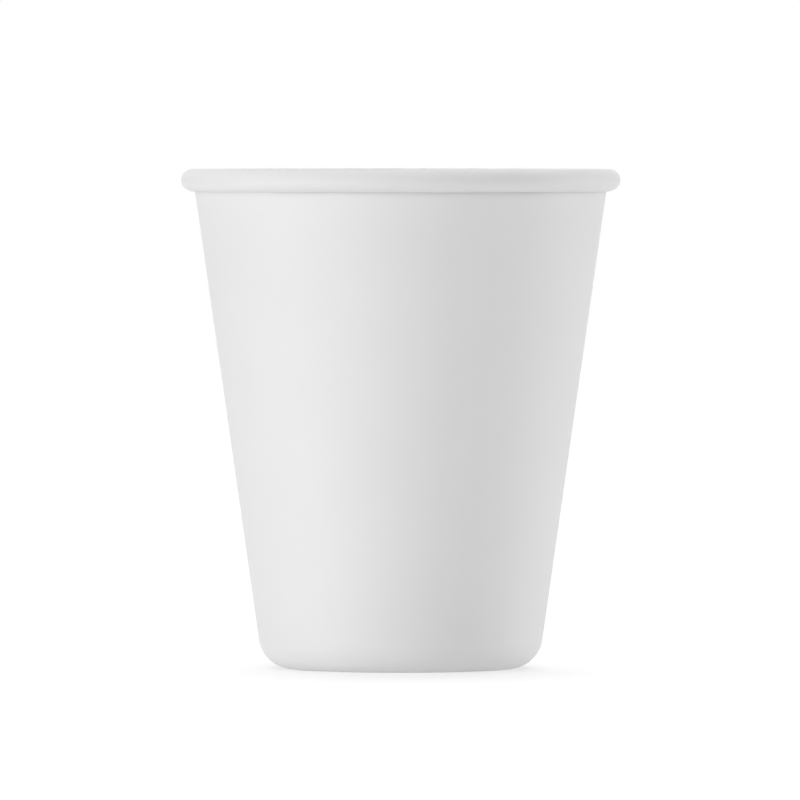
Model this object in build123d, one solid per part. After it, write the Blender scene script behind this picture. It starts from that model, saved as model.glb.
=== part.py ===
from build123d import *
import os
from math import asin, atan2, degrees, radians, sin, tan

# Reusable drinking cup, formed in one piece from white polypropylene sheet. Its edge is
# rolled outwards into a hollow rim. Millimetres: the axis is Z, and it stands on Z = 0.

# Overall sizes
rim_diameter = 80.0  # across the outside of the rolled rim
cup_height = 91.0
foot_diameter = 50.2  # where the wall's line, carried on down, meets the table
wall = 0.8  # thickness of the sheet

# Base, whose middle is raised clear of the table inside a narrow flat ring
heel_radius = 6.0  # outside of the round corner between the ring and the wall
ring_width = 2.8  # from the heel to the foot of the step
step_width = 1.5  # how far the slanted step comes inwards as it rises
recess_depth = 2.0  # from the table to the underside of the middle
step_foot_bend = 0.5  # inside of the bend from the ring up into the step
step_top_bend = 1.0  # inside of the bend from the step to the middle

# Neck, the short upright stretch that the roll starts from and hides
neck_height = 3.4  # from the bend at its foot to the top of the cup
neck_bend = 3.0

# Roll, from the mouth over the crown and down to its cut edge. Radii are those inside it.
mouth_bend = 0.25  # from the neck over to the top
crown_bend = 1.6  # the broad top
crown_turn = 48.0  # degrees that the crown turns through
side_bend = 0.75  # from the crown to the upright band, and from the band to the underside
band_height = 0.35  # the upright band, which a lid grips
underside_bend = 2.5
underside_slope = 41.0  # degrees from level where the underside begins
edge_gap = 0.2  # between the cut edge and the neck


def outer_face():
    """Edges of the sheet's outer face, from the middle of the base to the roll's cut edge."""
    turn = radians(crown_turn)
    slope = radians(underside_slope)
    roll_reach = mouth_bend + crown_bend * sin(turn) + side_bend * (1 - sin(turn))
    neck_radius = rim_diameter / 2 - wall - roll_reach
    neck_foot = cup_height - neck_height
    foot_radius = foot_diameter / 2
    wall_angle = atan2(neck_foot, neck_radius - foot_radius)
    step_foot = foot_radius - heel_radius * tan(wall_angle / 2) - ring_width
    body = FilletPolyline(
        (0, recess_depth),
        (step_foot - step_width, recess_depth),
        (step_foot, 0),
        (foot_radius, 0),
        (neck_radius, neck_foot),
        (neck_radius, cup_height - wall - mouth_bend),
        radius=[step_top_bend, step_foot_bend + wall, heel_radius, neck_bend],
    )

    # The underside turns until its edge is the gap away from the neck.
    underside_reach = roll_reach - side_bend * (1 - sin(slope)) - edge_gap
    edge_slope = degrees(asin(sin(slope) - underside_reach / underside_bend))
    mouth = JernArc(body @ 1, body % 1, mouth_bend, -90)
    crown = JernArc(mouth @ 1, mouth % 1, crown_bend, -crown_turn)
    shoulder = JernArc(crown @ 1, crown % 1, side_bend, crown_turn - 90)
    band = Line(shoulder @ 1, shoulder @ 1 + (shoulder % 1) * band_height)
    chin = JernArc(band @ 1, band % 1, side_bend, underside_slope - 90)
    underside = JernArc(chin @ 1, chin % 1, underside_bend, edge_slope - underside_slope)
    return [*body.edges(), mouth, crown, shoulder, band, chin, underside]


def left_of(edge, distance):
    """The edge's parallel on its left: a line stays as long, and an arc keeps its centre."""
    start, middle, end = (edge @ u + (edge % u).rotate(Axis.Z, 90) * distance for u in (0, 0.5, 1))
    if edge.geom_type == GeomType.LINE:
        return Line(start, end)
    return ThreePointArc(start, middle, end)


def cup():
    """The sheet's section, closed at the axis and at the cut edge, and turned about Z."""
    outside = outer_face()
    inside = [left_of(edge, wall) for edge in outside]
    at_axis = Line(outside[0] @ 0, inside[0] @ 0)
    cut_edge = Line(outside[-1] @ 1, inside[-1] @ 1)
    section = make_face([*outside, *inside, at_axis, cut_edge])
    return revolve(Plane.XZ * section, Axis.Z)


os.makedirs("parts", exist_ok=True)
export_step(cup(), "parts/cup.step")
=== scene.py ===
import math

import bpy
import numpy as np
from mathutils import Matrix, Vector


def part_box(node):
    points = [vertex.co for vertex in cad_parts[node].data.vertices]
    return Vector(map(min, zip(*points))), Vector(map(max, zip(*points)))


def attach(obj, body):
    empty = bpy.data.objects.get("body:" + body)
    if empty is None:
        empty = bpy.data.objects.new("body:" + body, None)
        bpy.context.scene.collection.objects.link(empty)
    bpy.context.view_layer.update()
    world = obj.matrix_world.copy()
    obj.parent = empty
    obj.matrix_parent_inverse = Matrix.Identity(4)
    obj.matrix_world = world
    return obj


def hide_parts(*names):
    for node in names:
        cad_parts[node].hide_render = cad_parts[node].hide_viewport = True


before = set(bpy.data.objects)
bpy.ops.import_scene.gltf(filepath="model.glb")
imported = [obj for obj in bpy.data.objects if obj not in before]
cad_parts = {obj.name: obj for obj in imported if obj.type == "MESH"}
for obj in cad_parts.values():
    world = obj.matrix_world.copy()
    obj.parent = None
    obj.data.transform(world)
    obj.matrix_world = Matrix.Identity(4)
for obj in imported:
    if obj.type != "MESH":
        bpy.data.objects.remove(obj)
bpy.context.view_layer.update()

MM = 0.001

# Camera
# It stands far back with a long lens, its eye a little above the rim, so that the cup is seen
# from the side with almost no perspective: the mouth closes to a line, and so nearly does the foot.
EYE_HEIGHT = 98 * MM
EYE_DISTANCE = 2369 * MM
AIM = Vector((-0.13, 0, 48.9)) * MM
LENS_MM = 585
SENSOR_MM = 36
VIEW_DEPTH = 20.0

scene = bpy.context.scene
scene.view_settings.view_transform = "Standard"
camera = bpy.data.objects.new("camera", bpy.data.cameras.new("camera"))
scene.collection.objects.link(camera)
scene.camera = camera
camera.data.lens = LENS_MM
camera.data.sensor_width = SENSOR_MM
camera.data.clip_end = VIEW_DEPTH
camera.location = (AIM.x, -EYE_DISTANCE, EYE_HEIGHT)
camera.rotation_euler = (AIM - camera.location).to_track_quat("-Z", "Y").to_euler()

# Floor
# A wide sweep of matt studio paper. It keeps the cup's soft shadow and casts none, so light from level
# with it reaches the heel. It is seen whiter than it lights the cup, which keeps the rim's underside dark.
FLOOR_HALF = 3.0
FLOOR_TOP = -0.02 * MM  # a hair under the cup, so that the two faces don't lie in one plane
PAPER_COLOUR = "D4D4D4"  # as it lights the cup
PAPER_SEEN = "F4F4F4"
PAPER_GLOW = 0.2  # what comes up through it of the even surround
PAPER_LIFT = 0.346  # the same as it is seen, where it brings the lit paper up to white

MIX_FACTOR = 0  # a Mix node's sockets for colours, by number because its names repeat
MIX_FIRST = 6
MIX_SECOND = 7
MIX_RESULT = 2


def linear(hex_colour):
    """A written sRGB colour, such as "F2F2F0", as linear light with an alpha of 1."""
    srgb = np.array([int(hex_colour[i:i + 2], 16) for i in (0, 2, 4)]) / 255
    light = np.where(srgb <= 0.04045, srgb / 12.92, ((srgb + 0.055) / 1.055) ** 2.4)
    return (*light.tolist(), 1.0)


def add_node(tree, kind, settings, inputs):
    """Adds a node and gives back its outputs.

    Settings are its properties. Each input, by name or number, takes a value or an output.
    """
    node = tree.nodes.new(kind)
    for name, value in settings.items():
        setattr(node, name, value)
    for socket, value in inputs.items():
        if isinstance(value, bpy.types.NodeSocket):
            tree.links.new(value, node.inputs[socket])
        else:
            node.inputs[socket].default_value = value
    return node.outputs


def empty_tree(owner):
    """The emptied node tree of a material or a world."""
    owner.use_nodes = True
    owner.node_tree.nodes.clear()
    return owner.node_tree


def seen(tree):
    """1 for the rays that the eye sees by, straight, in a gloss or through a clear body, and else 0."""
    larger = {"operation": "MAXIMUM"}
    path = add_node(tree, "ShaderNodeLightPath", {}, {})
    straight = add_node(tree, "ShaderNodeMath", larger, {
        0: path["Is Camera Ray"],
        1: path["Is Glossy Ray"],
    })[0]
    return add_node(tree, "ShaderNodeMath", larger, {
        0: straight,
        1: path["Is Transmission Ray"],
    })[0]


floor_mesh = bpy.data.meshes.new("floor")
floor_corners = [
    (x * FLOOR_HALF, y * FLOOR_HALF, FLOOR_TOP)
    for x, y in ((-1, -1), (1, -1), (1, 1), (-1, 1))
]
floor_mesh.from_pydata(floor_corners, [], [(0, 1, 2, 3)])
floor = bpy.data.objects.new("floor", floor_mesh)
floor.visible_shadow = False
scene.collection.objects.link(floor)

paper = bpy.data.materials.new("studio_paper")
floor_mesh.materials.append(paper)
tree = empty_tree(paper)
eye = seen(tree)
tone = add_node(tree, "ShaderNodeMix", {"data_type": "RGBA"}, {
    MIX_FACTOR: eye,
    MIX_FIRST: linear(PAPER_COLOUR),
    MIX_SECOND: linear(PAPER_SEEN),
})[MIX_RESULT]
lift = add_node(tree, "ShaderNodeMapRange", {}, {
    "Value": eye,
    "To Min": PAPER_GLOW,
    "To Max": PAPER_LIFT,
})[0]
matt = add_node(tree, "ShaderNodeBsdfDiffuse", {}, {"Color": tone})[0]
glow = add_node(tree, "ShaderNodeEmission", {}, {"Strength": lift})[0]
lifted = add_node(tree, "ShaderNodeAddShader", {}, {0: matt, 1: glow})[0]
add_node(tree, "ShaderNodeOutputMaterial", {}, {"Surface": lifted})

# Light
# Plain soft studio light: an even white surround, a broad lamp low on the left and a weaker one
# low on the right, one in front, and two overhead that throw a soft shadow forwards.
AMBIENT = 0.2  # the surround as it lights the cup; it is seen at a strength of 1
LAMPS = {  # degrees to the camera's right, degrees above the floor, degrees across, and strength
    "lamp_left": (-60, 0, 45, 0.4),
    "lamp_right": (105, 0, 45, 0.308),
    "lamp_front": (0, 30, 60, 0.177),
    "lamp_behind": (180, 60, 60, 0.27),
    "lamp_above": (0, 90, 30, 0.185),
}

world = bpy.data.worlds.new("studio")
scene.world = world
tree = empty_tree(world)
level = add_node(tree, "ShaderNodeMapRange", {}, {"Value": seen(tree), "To Min": AMBIENT})[0]
surround = add_node(tree, "ShaderNodeBackground", {}, {"Color": linear("FFFFFF"), "Strength": level})[0]
add_node(tree, "ShaderNodeOutputWorld", {}, {"Surface": surround})

for name, (aside, above, across, strength) in LAMPS.items():
    aside = math.radians(aside)
    above = math.radians(above)
    reach = math.cos(above)
    way_to_lamp = Vector((reach * math.sin(aside), -reach * math.cos(aside), math.sin(above)))
    lamp = bpy.data.lights.new(name, "SUN")
    lamp.angle = math.radians(across)
    lamp.energy = strength * math.pi  # so that a strength of 1 shows a face turned to it in its own colour
    # Only by shadow rays, which the paper lets through, so that its part below the floor counts in full.
    lamp.cycles.use_multiple_importance_sampling = False
    lamp_object = bpy.data.objects.new(name, lamp)
    lamp_object.rotation_euler = way_to_lamp.to_track_quat("Z", "Y").to_euler()
    scene.collection.objects.link(lamp_object)

# Cup
# One piece of white polypropylene sheet, drawn into a satin mould while soft. Its edge is then
# heated and rolled outwards into a hollow rim, and the middle of its base stands clear of the table.
rim_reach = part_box("cup")[1]
rim_radius = rim_reach.y
cup_height = rim_reach.z
foot_radius = 25.1 * MM  # where the wall's line, carried on down, meets the table
wall = 0.8 * MM

heel_radius = 6.0 * MM  # the round corner between the wall and the flat ring that it stands on
ring_width = 2.8 * MM
step_width = 1.5 * MM
recess_depth = 2.0 * MM
step_foot_bend = 0.5 * MM
step_top_bend = 1.0 * MM

neck_height = 3.4 * MM  # the upright stretch that the roll starts from and hides
neck_bend = 3.0 * MM

mouth_bend = 0.25 * MM  # the roll's bends, as radii inside it
crown_bend = 1.6 * MM
crown_turn = math.radians(48)
side_bend = 0.75 * MM
band_height = 0.35 * MM
underside_bend = 2.5 * MM
underside_slope = math.radians(41)
edge_gap = 0.2 * MM  # between the roll's cut edge and the neck

SEGMENTS = 288
BEND_STEP = math.radians(6)
RUN_STEP = 3 * MM

quarter = math.pi / 2
roll_reach = mouth_bend + crown_bend * math.sin(crown_turn) + side_bend * (1 - math.sin(crown_turn))
neck_radius = rim_radius - wall - roll_reach
neck_foot = cup_height - neck_height
wall_angle = math.atan2(neck_foot, neck_radius - foot_radius)
step_foot = foot_radius - heel_radius * math.tan(wall_angle / 2) - ring_width
underside_reach = roll_reach - side_bend * (1 - math.sin(underside_slope)) - edge_gap
edge_slope = math.asin(math.sin(underside_slope) - underside_reach / underside_bend)

# The outer face in the (radius, height) plane: corners with a bend in each up to the mouth, and
# from there the bends of the roll, one after the other, with the upright band after the third.
body_corners = np.array([
    (0, recess_depth),
    (step_foot - step_width, recess_depth),
    (step_foot, 0),
    (foot_radius, 0),
    (neck_radius, neck_foot),
    (neck_radius, cup_height - wall - mouth_bend),
])
body_bends = [step_top_bend, step_foot_bend + wall, heel_radius, neck_bend]
roll_bends = [mouth_bend, crown_bend, side_bend, side_bend, underside_bend]
roll_turns = [
    -quarter,
    -crown_turn,
    crown_turn - quarter,
    underside_slope - quarter,
    edge_slope - underside_slope,
]
roll_runs = [0, 0, band_height, 0, 0]


def outer_face():
    """Points along the sheet's outer face, the direction at each, and how far along it lies.

    The face is a chain of straight runs and bends. A bend takes its radius times the tangent of
    half its turn from the run on each side. Each run and bend is cut into equal steps, and a step
    along a bend is the chord of its arc, so that every point lies on the true curve.
    """
    sides = np.diff(body_corners, axis=0)
    body_turns = np.diff(np.arctan2(sides[:, 1], sides[:, 0]))
    taken = body_bends * np.tan(np.abs(body_turns) / 2)
    body_runs = np.hypot(sides[:, 0], sides[:, 1]) - np.append(taken, 0) - np.insert(taken, 0, 0)

    turns = np.append(body_turns, roll_turns)
    lengths = np.zeros(2 * len(turns) + 1)
    swings = np.zeros(len(lengths))
    lengths[0::2] = np.append(body_runs, roll_runs)
    lengths[1::2] = np.append(body_bends, roll_bends) * np.abs(turns)
    swings[1::2] = turns

    steps = np.ceil(np.maximum(lengths / RUN_STEP, np.abs(swings) / BEND_STEP)).astype(int)
    length = np.repeat(lengths / np.maximum(steps, 1), steps)
    swing = np.repeat(swings / np.maximum(steps, 1), steps)
    direction = np.append(0, np.cumsum(swing))
    halfway = direction[:-1] + swing / 2
    chord = length * np.sinc(swing / (2 * math.pi))
    moves = chord[:, None] * np.stack([np.cos(halfway), np.sin(halfway)], 1)
    points = body_corners[0] + np.append(np.zeros((1, 2)), np.cumsum(moves, axis=0), axis=0)
    return points, direction, np.append(0, np.cumsum(length))


def turned(pairs):
    """Each (radius, height) pair carried round the cup's axis, as (r cos a, r sin a, z)."""
    angle = np.arange(SEGMENTS) * 2 * math.pi / SEGMENTS
    rings = np.empty((len(pairs), SEGMENTS, 3))
    rings[:, :, 0] = pairs[:, :1] * np.cos(angle)
    rings[:, :, 1] = pairs[:, :1] * np.sin(angle)
    rings[:, :, 2] = pairs[:, 1:]
    return rings.reshape(-1, 3)


def sheet_mesh():
    """The sheet's closed section turned about the axis, with a point in the middle of each face.

    The section runs out along the outer face to the cut edge and back along the inner face, which
    is the outer one moved to its left by the wall. The attribute "drawn" says where each point
    lay in the warm sheet: on the base its own (x, y), and on the wall those of the foot below it,
    with the distance along the sheet as the third number.
    """
    outer, direction, along = outer_face()
    left = np.stack([-np.sin(direction), np.cos(direction)], 1)
    inner = outer + wall * left
    section = np.append(outer[1:], inner[:0:-1], axis=0)
    facing = np.append(-left[1:], left[:0:-1], axis=0)
    drawn = np.stack([np.minimum(section[:, 0], foot_radius), np.append(along[1:], along[:0:-1])], 1)

    points = np.vstack([turned(section), (0, 0, outer[0, 1]), (0, 0, inner[0, 1])])
    normals = np.vstack([turned(facing), (0, 0, -1), (0, 0, 1)])
    drawn = np.vstack([turned(drawn), (0, 0, 0), (0, 0, 0)])

    ring = np.arange(len(section) * SEGMENTS).reshape(-1, SEGMENTS)
    beside = np.roll(ring, -1, axis=1)
    bottom = np.full(SEGMENTS, ring.size)
    quads = np.stack([ring[:-1], beside[:-1], beside[1:], ring[1:]], 2).reshape(-1, 4)
    fan_below = np.stack([bottom, beside[0], ring[0]], 1)
    fan_above = np.stack([bottom + 1, ring[-1], beside[-1]], 1)

    mesh = bpy.data.meshes.new("cup_sheet")
    mesh.from_pydata(points, [], quads.tolist() + fan_below.tolist() + fan_above.tolist())
    mesh.shade_smooth()
    mesh.normals_split_custom_set_from_vertices(normals)
    mesh.attributes.new("drawn", "FLOAT_VECTOR", "POINT").data.foreach_set("vector", drawn.ravel())
    return mesh


# White polypropylene, thermoformed against a blasted satin mould. The blasting gives it a fine
# grain with a broad dull sheen, the drawing leaves faint upright lines that spread with the wall,
# and the sheet cooled a little unevenly, which shows as a very low ripple and a trace of haze.
WHITE = "EEEEEE"
HAZE_WHITE = "EBEBEB"
SATIN_ROUGHNESS = (0.57, 0.63)
GRAIN = 0.4 * MM  # finer on the real cup, and drawn as coarse as it needs to show
GRAIN_DEPTH = 0.012 * MM
GRAIN_DETAIL = 1.0
LINE_SPACING = 3.0 * MM  # at the foot
LINE_LENGTH = 60 * MM
LINE_DEPTH = 0.03 * MM
LINE_DETAIL = 2.0
RIPPLE = 16 * MM
RIPPLE_DEPTH = 0.06 * MM
RIPPLE_DETAIL = 1.0
POLYPROPYLENE_IOR = 1.49

polypropylene = bpy.data.materials.new("satin_polypropylene")
tree = empty_tree(polypropylene)
place = add_node(tree, "ShaderNodeTexCoord", {}, {})["Object"]
sheet = add_node(tree, "ShaderNodeAttribute", {"attribute_name": "drawn"}, {})["Vector"]
stretch = (1 / LINE_SPACING, 1 / LINE_SPACING, 1 / LINE_LENGTH)
stretched = add_node(tree, "ShaderNodeMapping", {}, {"Vector": sheet, "Scale": stretch})[0]

grain = add_node(tree, "ShaderNodeTexNoise", {}, {
    "Vector": place,
    "Scale": 1 / GRAIN,
    "Detail": GRAIN_DETAIL,
})["Fac"]
lines = add_node(tree, "ShaderNodeTexNoise", {}, {
    "Vector": stretched,
    "Scale": 1.0,
    "Detail": LINE_DETAIL,
})["Fac"]
ripple = add_node(tree, "ShaderNodeTexNoise", {}, {
    "Vector": place,
    "Scale": 1 / RIPPLE,
    "Detail": RIPPLE_DETAIL,
})["Fac"]

rippled = add_node(tree, "ShaderNodeBump", {}, {
    "Height": ripple,
    "Distance": RIPPLE_DEPTH,
})[0]
lined = add_node(tree, "ShaderNodeBump", {}, {
    "Height": lines,
    "Distance": LINE_DEPTH,
    "Normal": rippled,
})[0]
grained = add_node(tree, "ShaderNodeBump", {}, {
    "Height": grain,
    "Distance": GRAIN_DEPTH,
    "Normal": lined,
})[0]
roughness = add_node(tree, "ShaderNodeMapRange", {}, {
    "Value": grain,
    "To Min": SATIN_ROUGHNESS[0],
    "To Max": SATIN_ROUGHNESS[1],
})[0]
haze = add_node(tree, "ShaderNodeMix", {"data_type": "RGBA"}, {
    MIX_FACTOR: ripple,
    MIX_FIRST: linear(HAZE_WHITE),
    MIX_SECOND: linear(WHITE),
})[MIX_RESULT]
shader = add_node(tree, "ShaderNodeBsdfPrincipled", {}, {
    "Base Color": haze,
    "Roughness": roughness,
    "IOR": POLYPROPYLENE_IOR,
    "Normal": grained,
})[0]
add_node(tree, "ShaderNodeOutputMaterial", {}, {"Surface": shader})

cup = bpy.data.objects.new("cup_sheet", sheet_mesh())
scene.collection.objects.link(cup)
cup.data.materials.append(polypropylene)
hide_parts("cup")
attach(cup, "root")
